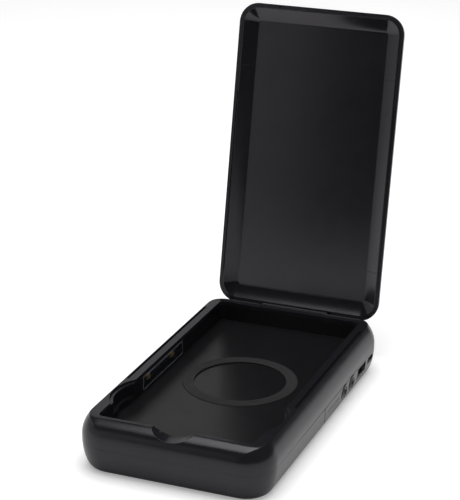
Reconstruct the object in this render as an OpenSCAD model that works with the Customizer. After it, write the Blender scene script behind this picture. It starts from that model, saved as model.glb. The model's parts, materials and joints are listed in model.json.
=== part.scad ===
// Sanitizer box with a hinged lid, a lit device bay, a wireless charging floor and a power bank below.
// Millimetres. X runs across the width, Y from the front to the hinge, Z up.
// The origin is the middle of the flat underside. The lid is drawn open.

/* [Case] */
// Width of the case at its widest
case_w = 101.2; // [98:0.2:106]
// Length of the case at its longest
case_l = 179.8; // [176:0.2:188]
// Height of the rim above the underside
case_h = 27.4; // [26.8:0.2:32]
// Corner radius of the case in plan
case_r = 16.1; // [14:0.1:20]
// Height of the joint between the lower and the upper case
split_z = 14.5; // [14:0.1:15]
// Wall thickness of the case
wall = 2; // [1.6:0.1:2.2]
// How far the underside is drawn in
belly_in = 5.8; // [4:0.1:7]
// Height at which the case is widest
belly_h = 15.5; // [15.2:0.1:17]
// How far the upper wall leans in
lean_in = 3.85; // [3.35:0.1:4.25]
// Height of the rounding along the rim's outer edge
rim_edge = 0.3; // [0.2:0.05:0.4]
// Height of the brow, from where it leaves the wall up to the rim
brow_h = 6.9; // [5.9:0.1:7.4]
// Slope of the brow where it leaves the rim, in degrees
brow_slope = 12; // [10:1:16]
// Width of the brow at the front and the rear
brow_w = 8.1; // [7.5:0.1:8.3]
// Thickness of the rim plate
rim_t = 2; // [1.6:0.1:2.2]

/* [Bay] */
// Width of the case beside the bay
side_band = 9.8; // [9.6:0.1:11.6]
// Length of the case in front of the bay
front_band = 9.9; // [9.7:0.1:13.9]
// Length of the case behind the bay
rear_band = 11.4; // [10.9:0.1:13.9]
// Corner radius of the bay
bay_r = 3; // [2:0.5:6]
// Height of the bay's floor above the joint of the two cases
floor_up = 1.9; // [1.5:0.1:2.5]
// Thickness of the tray's walls
tray_wall = 1.5; // [1.2:0.1:1.6]
// Thickness of the tray's floor
floor_t = 1.6; // [1.2:0.1:1.8]

/* [Rim details] */
// Distance of each light trap groove from the side of the case
groove_in = 5.3; // [5.1:0.1:5.6]
// Width of a light trap groove
groove_w = 1.4; // [1.3:0.1:1.4]
// Depth of a light trap groove
groove_d = 1.1; // [0.8:0.1:1.2]
// Distance from the middle of the finger scoops to the grooves
groove_front = 14.8; // [14.3:0.5:20.3]
// Distance from the rear end of the case to the grooves
groove_rear = 22.9; // [19.9:0.5:29.9]
// Distance from the front end of the case to the middle of the finger scoops
scoop_front = 39.6; // [37.9:0.1:40.9]
// Radius of a finger scoop at the rim
scoop_r = 24; // [22:0.5:25]
// Reach of a finger scoop beyond the bay's wall
scoop_out = 5.2; // [4.8:0.1:5.2]
// Width of the shallow step round a finger scoop
scoop_step = 1.8; // [1.6:0.1:2.2]
// Depth of the shallow step round a finger scoop
scoop_edge = 1.1; // [0.8:0.1:1.4]
// Depth of a finger scoop's floor below the rim
scoop_drop = 7.4; // [6:0.1:8]
// Width of a finger scoop's floor
scoop_ledge = 2; // [1.6:0.1:2.4]
// Radius of the thumb notch in the front wall
notch_r = 19; // [17:0.5:22]
// Depth of the thumb notch at the rim
notch_d = 3.5; // [3:0.1:4]

/* [Lid] */
// How far the lid's sides lie inside the sides of the case
lid_side = 3.3; // [3.1:0.1:4.1]
// How far the lid's ends lie inside the ends of the case
lid_end = 5.65; // [4.9:0.05:6.4]
// Corner radius of the lid
lid_r = 11; // [10:0.5:12]
// Room between the lid's liner and its shell, for the magnets
lid_room = 2; // [1.6:0.1:4]
// Wall thickness of the lid shell
lid_wall = 1.6; // [1.5:0.1:1.7]
// Width of the lid's rim strip
lid_rim = 2; // [2:0.1:2.2]
// How far the lid's crown is drawn in
crown_in = 7; // [5:0.5:8]
// Depth of the hollow in the lid
lid_hollow = 4.2; // [3.6:0.1:4.4]
// Width of the cove round the lid's panel
cove_w = 7.5; // [6:0.1:8]
// Angle through which the cove turns, in degrees
cove_turn = 62; // [50:1:80]
// Thickness of the lid's liner
liner_t = 1.2; // [1:0.1:1.4]
// Gap between the closed lid and the rim
lid_gap = 0.2; // [0.2:0.05:0.4]
// Angle from closed to fully open
lid_open = 101.3; // [95:0.1:102]

/* [Hinge] */
// Hinge axis behind the lid's rear edge
hinge_back = 1.15; // [1.1:0.05:1.3]
// Hinge axis below the rim
hinge_drop = 4.35; // [4.2:0.05:4.5]
// Radius of the hinge pin
pin_r = 1; // [0.8:0.05:1.1]
// Running clearance of the lug on the pin
pin_clear = 0.05; // [0.02:0.01:0.08]
// Radius of the lug's barrel
barrel_r = 2.9; // [2.6:0.1:3]
// Width of the lug
lug_w = 38; // [30:1:42]
// Side clearance of the lug in its slot
lug_clear = 0.4; // [0.3:0.05:0.5]
// Length of pin held in each boss
pin_grip = 4.2; // [3:0.1:5]

/* [Sockets and buttons] */
// Distance from the rear end of the case to the power button
power_rear = 63.4; // [62.9:0.5:64.9]
// Distance from the rear end of the case to the lamp button
lamp_rear = 51.2; // [49.9:0.1:51.9]
// Diameter of a button cap
cap_d = 8; // [7:0.1:8]
// Clearance round a button cap
cap_clear = 0.3; // [0.3:0.05:0.4]
// Travel of a button
cap_travel = 0.5; // [0.3:0.05:0.5]
// How far a button stands proud
cap_proud = 0.3; // [0.1:0.1:0.5]
// Distance from the rear end of the case to the large socket
usb_a_rear = 35.1; // [33.9:0.1:35.9]
// Height of the large socket above the buttons' middle line
usb_a_up = 0.3; // [0.1:0.1:0.5]
// Distance from the rear end of the case to the small socket
usb_c_rear = 20.4; // [19.9:0.1:20.9]
// Height of the small socket above the buttons' middle line
usb_c_up = 0.9; // [0.7:0.1:1.1]
// Distance from the rear end of the case to the first status light
dot_rear = 88.9; // [87.9:0.5:89.9]
// Pitch of the status lights
dot_pitch = 3.1; // [2.8:0.1:3.2]
// Number of status lights
dot_count = 6; // [4:1:6]
// Diameter of a status light
dot_d = 1.2; // [1:0.1:1.4]
// Height of the status lights above the buttons' middle line
dot_up = 0.4; // [0.1:0.1:0.7]

/* [Lamps] */
// Distance from the middle of the finger scoops to the middle of a lamp window
window_back = 48.55; // [48.3:0.25:50.3]
// Length of a lamp window
window_l = 50.5; // [46:0.5:54]
// Gap between a lamp window and the rim plate above it
window_gap = 0.4; // [0.4:0.1:1.2]
// Thickness of a lamp window
window_t = 1.4; // [1.2:0.1:1.5]
// How far a lamp window stands proud of the bay's wall
window_proud = 0.2; // [0.1:0.05:0.3]
// Distance between the two emitters of a window
emitter_pitch = 30.5; // [28:0.5:32]
// Side of a square emitter package
emitter_s = 3.5; // [3:0.1:4]

/* [Power bank] */
// Distance from the left side of the case to the battery cell
cell_in = 8.6; // [8.6:0.1:12.6]
// Gap between the battery cell and the main board
cell_gap = 2; // [2:0.1:4]
// Length of the battery cell
cell_l = 108; // [100:1:110]
// Gap between the battery cell and the ferrite sheet
cell_head = 0.7; // [0.6:0.1:1.7]
// Width of the main board
board_w = 25; // [24.5:0.1:25.5]
// Thickness of the circuit boards
board_t = 1.6; // [1:0.1:1.6]
// Outer diameter of the charging coil
coil_d = 48; // [44:1:50]
// Place of the coil's centre along the bay
coil_y = 5; // [0:0.5:8]
// Thickness of the charging coil
coil_t = 1; // [0.8:0.1:1]
// Thickness of the ferrite sheet
ferrite_t = 0.8; // [0.5:0.1:0.8]
// Distance of the case screws from the sides of the case
screw_side = 20.6; // [18.6:0.5:22.6]
// Distance of the case screws from the ends of the case
screw_end = 17.9; // [16.9:0.5:19.9]

/* [Hidden] */
$fn = 64;

charcoal = [0.12, 0.12, 0.13];
inner_black = [0.05, 0.05, 0.055];
steel = [0.72, 0.73, 0.75];

eps = 0.01;
seat = 0.1;          // gap that a glued or clipped piece keeps
near = 0.3;          // gap of a piece that lies loose on its seat
tip = 0.02;          // gap between two faces that would else lie in one plane
reveal = 0.2;        // groove that shows at the joint of the two cases

// Profiles are lists of [inset, z], from the lowest point up
half_w = case_w / 2;
half_l = case_l / 2;
floor_z = split_z + floor_up;
lid_w = case_w - 2 * lid_side;
lid_l = case_l - 2 * lid_end;
lid_h = lid_hollow + liner_t + lid_room + lid_wall;
belly_steps = 14;
lean_steps = 8;
edge_steps = 4;

function belly_inset(z) = belly_in * (1 - sqrt(max(0, 1 - pow((belly_h - z) / belly_h, 2))));
function belly_z(i) = belly_h * (1 - cos(90 * i / belly_steps));

lean_top = case_h - rim_edge;
lean_base = belly_h + 1.5;
lean_h = lean_top - lean_base;
function lean_inset(z) = lean_in * pow(max(0, z - lean_base) / lean_h, 2);

// The rim's rounding goes on from the slant at which the wall reaches it
lean_turn = atan(2 * lean_in / lean_h);
edge_r = rim_edge / (1 - sin(lean_turn));

lower_profile = concat(
    [for (i = [0 : belly_steps]) let (z = belly_z(i)) if (z < split_z - reveal - 0.5) [belly_inset(z), z]],
    [[belly_inset(split_z - reveal), split_z - reveal], [belly_inset(split_z) + reveal, split_z]]);

upper_profile = concat(
    [[belly_inset(split_z) + reveal, split_z], [0, split_z + reveal], [0, lean_base]],
    [for (i = [1 : lean_steps]) let (z = lean_base + lean_h * i / lean_steps) [lean_inset(z), z]],
    [for (i = [1 : edge_steps]) let (a = lean_turn + (90 - lean_turn) * i / edge_steps)
        [lean_in + edge_r * (cos(lean_turn) - cos(a)), lean_top + edge_r * (sin(a) - sin(lean_turn))]]);

whole_profile = concat(
    [for (i = [0 : belly_steps]) [belly_inset(belly_z(i)), belly_z(i)]],
    [for (i = [2 : len(upper_profile) - 1]) upper_profile[i]]);

crown_steps = 10;
crown_profile = [for (i = [0 : crown_steps]) let (a = 88 * i / crown_steps)
    [crown_in * (1 - cos(a)), lid_h * sin(a) / sin(88)]];

cove_steps = 8;
cove_profile = [for (i = [0 : cove_steps])
    [cove_w * i / cove_steps, lid_hollow * sin(cove_turn * i / cove_steps) / sin(cove_turn)]];

// The liner's outer side, 0.8 thick at its edge and as thick as the panel where the cove ends
liner_edge = 0.5;
liner_side_t = 0.8;
liner_profile = concat(
    [[0, 0], [0, cove_profile[1][1] + 0.5]],
    [for (i = [1 : cove_steps]) let (t = liner_side_t + (liner_t - liner_side_t) * i / cove_steps)
        [cove_profile[i][0] - 0.6, cove_profile[i][1] + t]]);

// The brow's curve, from the wall up to the rim, as [distance from the centre, z]
brow_steps = 8;
brow_z = case_h - brow_h;
rim_half_l = half_l - brow_w;
brow_foot = [half_l - lean_inset(brow_z) + 0.03, brow_z];
brow_top = [rim_half_l, case_h];
brow_fall = tan(brow_slope);
brow_lean = 2 * lean_in * (brow_z - lean_base) / pow(lean_h, 2);
brow_rise = case_h + rim_half_l * brow_fall - brow_z;
brow_knee_y = (brow_foot[0] - brow_lean * brow_rise) / (1 - brow_lean * brow_fall);
brow_knee = [brow_knee_y, case_h - (brow_knee_y - rim_half_l) * brow_fall];
function brow_at(t) = pow(1 - t, 2) * brow_foot + 2 * t * (1 - t) * brow_knee + t * t * brow_top;
brow_profile = concat(
    [[-0.2, split_z - 1], [-0.2, brow_z - 1.2]],
    [for (i = [0 : brow_steps]) let (q = brow_at(i / brow_steps)) [half_l - q[0], q[1]]],
    [[half_l - rim_half_l, case_h + 1]]);

bay_w = case_w - 2 * side_band;
bay_x = bay_w / 2;
bay_front = half_l - front_band;
bay_rear = half_l - rear_band;
bay_l = bay_front + bay_rear;
bay_mid = (bay_rear - bay_front) / 2;
rim_z = case_h - rim_t;
tray_z = floor_z - floor_t;
tray_top = rim_z - tip;

hinge_y = lid_l / 2 + hinge_back;
hinge_z = case_h - hinge_drop;
slot_front = barrel_r + 0.6;
slot_floor = barrel_r + 1.5;
slot_w = lug_w + 2 * lug_clear;

scoop_y = scoop_front - half_l;
groove_x = half_w - groove_in;
groove_y0 = scoop_y + groove_front;
groove_y1 = half_l - groove_rear;
scoop_x = bay_x + scoop_out - scoop_r;
scoop_z = case_h - scoop_drop;
pocket_r = scoop_r - scoop_step;
low_r = pocket_r - scoop_ledge;

// Controls hang below the joint of the two cases and keep their distance from the rear end
control_z = split_z - cap_d / 2 - cap_clear - 0.1;
power_y = half_l - power_rear;
lamp_y = half_l - lamp_rear;
usb_a_y = half_l - usb_a_rear;
usb_a_z = control_z + usb_a_up;
usb_c_y = half_l - usb_c_rear;
usb_c_z = control_z + usb_c_up;
dot_y = half_l - dot_rear;
dot_z = control_z + dot_up;
side_x = half_w - belly_inset(control_z);
usb_shell_t = 0.3;
socket_clear = 0.4;
usb_a = [14, 13.1, 5.7];
usb_c = [7.4, 8.94, 3.26];
board_top = usb_a_z - usb_a[2] / 2;
board_z = board_top - board_t;
board_x1 = half_w - wall - 3.6;
board_x0 = board_x1 - board_w;
board_y0 = dot_y - 13;
board_y1 = bay_rear + 1.5;
board_cut = 9;
post_r = 3.5;
head_z = 5;
screw_r = 1.3;
screw_tip = 14.6;
small_screw_r = 0.9;
post_top = 10;
board_posts = [[board_x0 + 4, board_y0 + 5], [board_x1 - 3, board_y0 + 5],
    [board_x0 + 4, lamp_y + 7.3], [board_x1 - 4.5, lamp_y + 6.5]];
guide_back = 6.6;
flange_x = half_w - wall - 2.5;
stem_x = flange_x - 1.4;
screw_x = half_w - screw_side;
screw_y = half_l - screw_end;
tape_t = 0.3;
cell_x0 = cell_in - half_w;
cell_w = board_x0 - cell_gap - cell_x0;
cell_x = cell_x0 + cell_w / 2;
cell_y = -4;
pad_r = 30;
pad_t = 0.8;
pad_deep = 0.5;
cell_t = tray_z - coil_t - ferrite_t - cell_head - wall - tape_t;
pouch_profile = [[1.5, 0], [0.4, 0.6], [0, 1.8], [0, cell_t - 1.8], [0.4, cell_t - 0.6], [1.5, cell_t]];
window_y = scoop_y + window_back;
window_y0 = window_y - window_l / 2;
window_z = floor_z + 1.2;
window_h = rim_z - window_gap - window_z;
window_x = bay_x + tray_wall;
emitter_t = 1.3;
lamp_board_x = window_x + near + emitter_t;
lamp_board_t = 1;
lamp_board_l = window_l + 4;
magnet_x = 24;
magnet_l = 8;
magnet_t = 2;
magnet_h = 4;
magnet_y = -bay_front - tray_wall - seat - magnet_t;
lid_magnet_t = 1.2;
lining_t = 3.2;
sensor_s = 3;
rib_w = 0.4;
rib_h = 0.7;

// A box with rounded corners in plan whose wall follows a profile
module soft_slab(w, l, r, profile) {
    foot = [[0, profile[0][1]]];
    head = [[0, profile[len(profile) - 1][1]]];
    rotate([90, 0, 0]) linear_extrude(height = l - 2 * r, center = true) polygon(across(w / 2, profile));
    rotate([90, 0, 90]) linear_extrude(height = w - 2 * r, center = true) polygon(across(l / 2, profile));
    for (q = [0 : 3])
        translate([(q == 0 || q == 3 ? 1 : -1) * (w / 2 - r), (q < 2 ? 1 : -1) * (l / 2 - r), 0])
            rotate(90 * q) rotate_extrude(angle = 90)
                polygon(concat(foot, [for (p = profile) [r - p[0], p[1]]], head));
}

// The outline of a slab whose two walls stand half a width from the middle
function across(half, profile) = concat(
    [for (p = profile) [half - p[0], p[1]]],
    [for (i = [len(profile) - 1 : -1 : 0]) [profile[i][0] - half, profile[i][1]]]);

// Draws on the right side what is given, or on the left if s is negative
module on_side(s) {
    mirror([s < 0 ? 1 : 0, 0, 0]) children();
}

// Puts a bore or rod that runs out through the right wall, from a depth behind its face
module through_side(y, z, depth = 6) {
    translate([side_x - depth, y, z]) rotate([90, 0, 90]) children();
}

// A straight prism with rounded corners in plan
module round_block(w, l, r, z0, z1) {
    translate([0, 0, z0]) linear_extrude(height = z1 - z0) round_rect(w, l, r);
}

module capsule(w, l) {
    round_rect(w, l, l / 2 - eps);
}

module round_rect(w, l, r) {
    square([w - 2 * r, l], center = true);
    square([w, l - 2 * r], center = true);
    for (x = [-1, 1], y = [-1, 1]) translate([x * (w / 2 - r), y * (l / 2 - r)]) circle(r);
}

// The form whose wide, soft edge rounds the front and the rear of the rim
module brow_form() {
    soft_slab(case_w + 8.4, case_l, case_r + 0.4, brow_profile);
}

// The rim's grooves, scoops and thumb notch
module rim_grooves() {
    for (s = [-1, 1])
        translate([s * groove_x - groove_w / 2, groove_y0, case_h - groove_d])
            cube([groove_w, groove_y1 - groove_y0, groove_d + 1]);
}

// The scoops, from the shallow step at the rim down to the bay's floor
module scoop_cuts() {
    for (s = [-1, 1]) translate([s * scoop_x, scoop_y, 0]) {
        translate([0, 0, case_h - scoop_edge]) cylinder(r = scoop_r, h = 5);
        translate([0, 0, scoop_z]) cylinder(r = pocket_r, h = scoop_drop + 1);
        translate([0, 0, floor_z]) cylinder(r = low_r, h = case_h);
    }
}

module thumb_notch() {
    translate([0, -bay_front + 5, case_h - notch_d + notch_r]) rotate([90, 0, 0])
        cylinder(r = notch_r, h = 20, $fn = 128);
}

module at_screws() {
    for (x = [-1, 1], y = [-1, 1]) translate([x * screw_x, y * screw_y, 0]) children();
}

module at_board_posts(z) {
    for (p = board_posts) translate([p[0], p[1], z]) children();
}

// Lower case with its posts, sockets and button holes
module lower_case() {
    color(charcoal) difference() {
        union() {
            difference() {
                soft_slab(case_w, case_l, case_r, lower_profile);
                intersection() {
                    soft_slab(case_w - 2 * wall, case_l - 2 * wall, case_r - wall, whole_profile);
                    translate([-half_w, -half_l, wall]) cube([case_w, case_l, split_z]);
                }
            }
            at_screws() translate([0, 0, eps]) cylinder(r = post_r, h = post_top - eps);
            at_board_posts(wall - eps) cylinder(r = 2.4, h = board_z - wall + eps);
        }
        at_screws() {
            translate([0, 0, -1]) cylinder(r = 2.7, h = head_z + 1);
            cylinder(r = screw_r + 0.15, h = post_top + 1);
        }
        at_board_posts(wall) cylinder(r = small_screw_r + 0.02, h = board_z);
        side_openings();
        panel_line();
    }
}

// Holes in the right wall for the buttons, sockets and status lights
module side_openings() {
    bore = 12;
    for (y = [power_y, lamp_y])
        through_side(y, control_z) cylinder(d = cap_d + 2 * cap_clear, h = bore);
    through_side(usb_a_y, usb_a_z)
        linear_extrude(height = bore) round_rect(usb_a[1] + socket_clear, usb_a[2] + socket_clear, 0.6);
    through_side(usb_c_y, usb_c_z)
        linear_extrude(height = bore) capsule(usb_c[1] + socket_clear, usb_c[2] + socket_clear);
    for (i = [0 : dot_count - 1])
        through_side(dot_y + i * dot_pitch, dot_z) cylinder(d = dot_d + 0.1, h = bore);
}

// The curved line that starts the control panel on the right wall
module panel_line() {
    line_r = 16;
    line_w = 0.6;
    depth = 0.4;
    difference() {
        translate([half_w - 8, dot_y - 7 + line_r, split_z + 1]) rotate([0, 90, 0]) difference() {
            cylinder(r = line_r, h = 10);
            translate([0, 0, -1]) cylinder(r = line_r - line_w, h = 12);
            translate([-line_r - 1, -line_r, -1]) cube([line_r, 2 * line_r, 12]);
            translate([-line_r - 1, 0, -1]) cube([2 * line_r + 2, line_r + 1, 12]);
        }
        soft_slab(case_w - 2 * depth, case_l - 2 * depth, case_r - depth, whole_profile);
    }
}

// Upper case: outer wall, rim, brow and hinge bosses
module upper_case() {
    color(charcoal) difference() {
        intersection() {
            union() {
                upper_shell();
                intersection() {
                    soft_slab(case_w - 1, case_l - 1, case_r - 0.5, whole_profile);
                    union() {
                        brow_lining();
                        notch_block();
                        hinge_block();
                    }
                }
            }
            brow_form();
        }
        translate([0, bay_mid, 0]) round_block(bay_w, bay_l, bay_r, split_z, case_h + 1);
        rim_grooves();
        scoop_cuts();
        thumb_notch();
        translate([-slot_w / 2, hinge_y - slot_front, hinge_z - slot_floor])
            cube([slot_w, 20, 20]);
        pin_at(pin_r + 0.01, slot_w + 2 * pin_grip + 0.4);
    }
}

module upper_shell() {
    difference() {
        soft_slab(case_w, case_l, case_r, upper_profile);
        intersection() {
            soft_slab(case_w - 2 * wall, case_l - 2 * wall, case_r - wall, whole_profile);
            translate([-half_w, -half_l, split_z - 1]) cube([case_w, case_l, rim_z - split_z + 1]);
        }
    }
}

// Thickens the rim behind the brow, so that the wall keeps its thickness there
module brow_lining() {
    for (s = [0, 1]) mirror([0, s, 0])
        translate([-half_w, (s == 0 ? bay_rear : bay_front) + tray_wall + seat, rim_z - lining_t])
            cube([case_w, rear_band, rim_t + lining_t - eps]);
}

module notch_block() {
    width = 2 * sqrt(pow(notch_r, 2) - pow(notch_r - notch_d, 2)) + 4;
    translate([-width / 2, -half_l, case_h - notch_d - 2])
        cube([width, half_l - bay_front - tray_wall - seat, notch_d + 1.9]);
}

module hinge_block() {
    width = slot_w + 2 * pin_grip + 2;
    translate([-width / 2, bay_rear + tray_wall + seat, hinge_z - slot_floor - 1.6])
        cube([width, 20, slot_floor + 1.6 + hinge_drop - 0.1]);
}

module pin_at(r, h) {
    translate([0, hinge_y, hinge_z]) rotate([0, 90, 0]) cylinder(r = r, h = h, center = true);
}

// Tray: the tub that forms the device bay
module device_tray() {
    grow = 2 * tray_wall;
    color(inner_black) difference() {
        union() {
            translate([0, bay_mid, 0])
                round_block(bay_w + grow, bay_l + grow, bay_r + tray_wall, tray_z, tray_top);
            for (s = [-1, 1]) {
                translate([s * scoop_x, scoop_y, tray_z]) cylinder(r = low_r + tray_wall, h = 5);
                translate([s * scoop_x, scoop_y, scoop_z - floor_t])
                    cylinder(r = pocket_r + tray_wall, h = tray_top - scoop_z + floor_t);
                for (e = [-1, 1]) on_side(s) lamp_pad(e);
            }
            at_screws() translate([0, 0, post_top]) cylinder(r = post_r, h = floor_z - post_top - 0.5);
        }
        translate([0, bay_mid, 0]) round_block(bay_w, bay_l, bay_r, floor_z, case_h + 1);
        scoop_cuts();
        for (s = [-1, 1])
            translate([s * bay_x - 3, window_y0, window_z]) cube([6, window_l, window_h]);
        thumb_notch();
        translate([0, coil_y, floor_z - pad_deep]) cylinder(r = pad_r + seat, h = 5);
        at_screws() translate([0, 0, post_top - 1])
            cylinder(r = screw_r + 0.02, h = screw_tip - post_top + 1.2);
    }
}

// Seat for one end of the right lamp board, on the outside of the tray's wall
module lamp_pad(e) {
    pad_w = 3;
    translate([window_x - eps, window_y + e * (lamp_board_l - pad_w) / 2 - pad_w / 2, window_z - 1])
        cube([lamp_board_x - window_x + eps, pad_w, window_h + 1]);
}

// Silicone ring that the device lies on, flush pocket in the floor
module charge_pad() {
    color([0.16, 0.16, 0.17]) translate([0, coil_y, floor_z - pad_deep]) difference() {
        cylinder(r = pad_r, h = pad_t);
        translate([0, 0, -1]) cylinder(r = pad_r - 6, h = 3);
    }
}

module charging_coil() {
    color([0.72, 0.42, 0.22]) translate([0, coil_y, tray_z - coil_t]) difference() {
        cylinder(d = coil_d, h = coil_t);
        translate([0, 0, -1]) cylinder(d = coil_d / 2.2, h = 3);
    }
}

module ferrite_sheet() {
    sheet = coil_d + 4;
    color([0.25, 0.24, 0.24]) translate([0, coil_y, tray_z - coil_t - ferrite_t])
        round_block(sheet, sheet, 2, 0, ferrite_t);
}

module battery_cell() {
    color([0.75, 0.76, 0.78]) translate([cell_x, cell_y, wall + tape_t]) {
        soft_slab(cell_w, cell_l - 6, 4, pouch_profile);
        translate([-cell_w / 2 + 4, cell_l / 2 - 3.5, cell_t / 2 - 1]) cube([cell_w - 8, 3.5, 2]);
    }
}

module battery_tape() {
    color([0.2, 0.2, 0.2]) for (y = [-1, 1])
        translate([cell_x0 + 6, cell_y + y * cell_l / 4 - 10, wall]) cube([cell_w - 12, 20, tape_t]);
}

module main_board() {
    color([0.05, 0.2, 0.12]) difference() {
        translate([board_x0, board_y0, board_z]) cube([board_w, board_y1 - board_y0, board_t]);
        translate([screw_x, screw_y, 0]) cylinder(r = post_r + near, h = case_h);
        translate([board_x1, board_y1, 0]) rotate(45)
            cube([board_cut, board_cut, 2 * case_h], center = true);
        at_board_posts(0) cylinder(r = small_screw_r + 0.15, h = case_h);
    }
}

module board_screws() {
    color(steel) at_board_posts(0) difference() {
        union() {
            translate([0, 0, wall + 1]) cylinder(r = small_screw_r, h = board_top - wall - 1 + eps);
            translate([0, 0, board_top]) cylinder(r = 1.8, h = 1.2);
        }
        translate([0, 0, board_top + 0.6]) cross_recess(0.5);
    }
}

module case_screws() {
    color(steel) at_screws() difference() {
        union() {
            translate([0, 0, head_z - 1.6]) cylinder(r = 2.4, h = 1.6);
            translate([0, 0, head_z - eps]) cylinder(r = screw_r, h = screw_tip - head_z);
        }
        translate([0, 0, head_z - 2]) cross_recess(0.7);
    }
}

module cross_recess(w) {
    for (a = [0, 90]) rotate(a) translate([-w * 2, -w / 2, 0]) cube([w * 4, w, 1.2]);
}

// Large socket: a steel shell and the tongue inside it
module usb_a_shell() {
    mouth = side_x - 0.6;
    color(steel) translate([mouth - usb_a[0], usb_a_y, usb_a_z]) difference() {
        rotate([90, 0, 90]) linear_extrude(height = usb_a[0]) round_rect(usb_a[1], usb_a[2], 0.5);
        translate([1, 0, 0]) rotate([90, 0, 90]) linear_extrude(height = usb_a[0])
            round_rect(usb_a[1] - 2 * usb_shell_t, usb_a[2] - 2 * usb_shell_t, 0.3);
    }
}

module usb_a_insert() {
    mouth = side_x - 0.6;
    inner = usb_a[1] - 2 * usb_shell_t;
    color([0.9, 0.9, 0.9]) translate([mouth - usb_a[0] + 1, usb_a_y, usb_a_z]) {
        rotate([90, 0, 90]) linear_extrude(height = 3)
            round_rect(inner - 0.1, usb_a[2] - 2 * usb_shell_t - 0.1, 0.3);
        translate([0, -inner / 2 + 0.7, 0.3]) cube([usb_a[0] - 2, inner - 1.4, 1.84]);
    }
}

// Small socket: a steel shell with round ends and its tongue, on a raised foot
module usb_c_shell() {
    mouth = side_x - 0.4;
    foot_h = usb_c_z - usb_c[2] / 2 - board_top;
    color(steel) {
        translate([mouth - usb_c[0], usb_c_y, usb_c_z]) difference() {
            rotate([90, 0, 90]) linear_extrude(height = usb_c[0]) capsule(usb_c[1], usb_c[2]);
            translate([1, 0, 0]) rotate([90, 0, 90]) linear_extrude(height = usb_c[0])
                capsule(usb_c[1] - 2 * usb_shell_t, usb_c[2] - 2 * usb_shell_t);
        }
        translate([mouth - usb_c[0], usb_c_y - 3, board_top]) cube([3, 6, foot_h + 0.1]);
    }
}

module usb_c_insert() {
    mouth = side_x - 0.4;
    inner = usb_c[1] - usb_c[2];
    back_h = usb_c[2] - 2 * usb_shell_t - seat;
    color([0.1, 0.1, 0.1]) translate([mouth - usb_c[0] + 1, usb_c_y, usb_c_z]) {
        translate([0, -inner / 2, -back_h / 2]) cube([1, inner, back_h]);
        translate([0, -inner / 2, -0.35]) cube([usb_c[0] - 1.8, inner, 0.7]);
    }
}

// Light guide: a bar on the board with one rod to each status light
module light_guide() {
    row = dot_pitch * (dot_count - 1);
    color([0.85, 0.88, 0.9, 0.6]) intersection() {
        union() {
            translate([side_x - guide_back, dot_y - 1.5, board_top])
                cube([1.4, row + 3, dot_z - board_top + 1]);
            for (i = [0 : dot_count - 1])
                through_side(dot_y + i * dot_pitch, dot_z, guide_back - 1) cylinder(d = dot_d, h = 8);
        }
        soft_slab(case_w, case_l, case_r, whole_profile);
    }
}

module status_leds() {
    color([0.95, 0.95, 0.85]) for (i = [0 : dot_count - 1])
        translate([side_x - guide_back - 1.6, dot_y + i * dot_pitch - 0.8, board_top])
            cube([1.5, 1.6, dot_z - board_top + 0.8]);
}

// A push button: the cap, the flange behind the wall and the stem to its switch
module button(y) {
    grow = 2 * cap_proud;
    color([0.1, 0.1, 0.11]) {
        intersection() {
            through_side(y, control_z, 4) cylinder(d = cap_d, h = 10);
            soft_slab(case_w + grow, case_l + grow, case_r + cap_proud, whole_profile);
        }
        through_side(y, control_z, side_x - flange_x) cylinder(d = cap_d + 1, h = 0.8);
        through_side(y, control_z, side_x - stem_x) cylinder(d = 2, h = 1.5);
    }
}

module power_button() { button(power_y); }
module lamp_button() { button(lamp_y); }

module button_switches() {
    color([0.3, 0.3, 0.32]) for (y = [power_y, lamp_y])
        translate([stem_x - cap_travel - seat - 3, y - 3, board_top]) cube([3, 6, control_z - board_top + 2]);
}

// Lamp window: a clear plate set back in the opening of the tray's wall
module window(s) {
    color([0.8, 0.85, 0.95, 0.4]) on_side(s)
        translate([bay_x - window_proud, window_y0 + seat / 2, window_z + seat / 2])
            cube([window_t, window_l - seat, window_h - seat]);
}

module window_left() { window(-1); }
module window_right() { window(1); }

module lamp_board(s) {
    color([0.08, 0.08, 0.09]) on_side(s)
        translate([lamp_board_x, window_y - lamp_board_l / 2, window_z - 1])
            cube([lamp_board_t, lamp_board_l, window_h + 1]);
}

module lamp_board_left() { lamp_board(-1); }
module lamp_board_right() { lamp_board(1); }

// Two emitters: a square package with a round lens
module emitters(s) {
    base_t = 0.7;
    color([0.85, 0.65, 0.3]) on_side(s) for (e = [-1, 1])
        translate([lamp_board_x, window_y + e * emitter_pitch / 2, window_z + window_h / 2]) {
            translate([-base_t, -emitter_s / 2, -emitter_s / 2]) cube([base_t, emitter_s, emitter_s]);
            translate([-emitter_t, 0, 0]) rotate([0, 90, 0]) cylinder(d = emitter_s - 0.8, h = emitter_t);
        }
}

module emitters_left() { emitters(-1); }
module emitters_right() { emitters(1); }

// Switch on the right lamp board that senses the lid
module lid_sensor() {
    color([0.1, 0.1, 0.1])
        translate([lamp_board_x + lamp_board_t, window_y0 + window_l - 7.25, window_z + window_h - 4.4])
            cube([1, sensor_s, sensor_s]);
}

module base_magnets() {
    color(steel) for (x = [-1, 1])
        translate([x * magnet_x - magnet_l / 2, magnet_y, rim_z - lining_t - magnet_h])
            cube([magnet_l, magnet_t, magnet_h]);
}

module hinge_pin() {
    color(steel) pin_at(pin_r, slot_w + 2 * pin_grip);
}

// Turns what is drawn closed into the open position
module lid_place() {
    translate([0, hinge_y, hinge_z]) rotate([-lid_open, 0, 0]) translate([0, -hinge_y, -hinge_z])
        translate([0, 0, case_h + lid_gap]) children();
}

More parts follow.
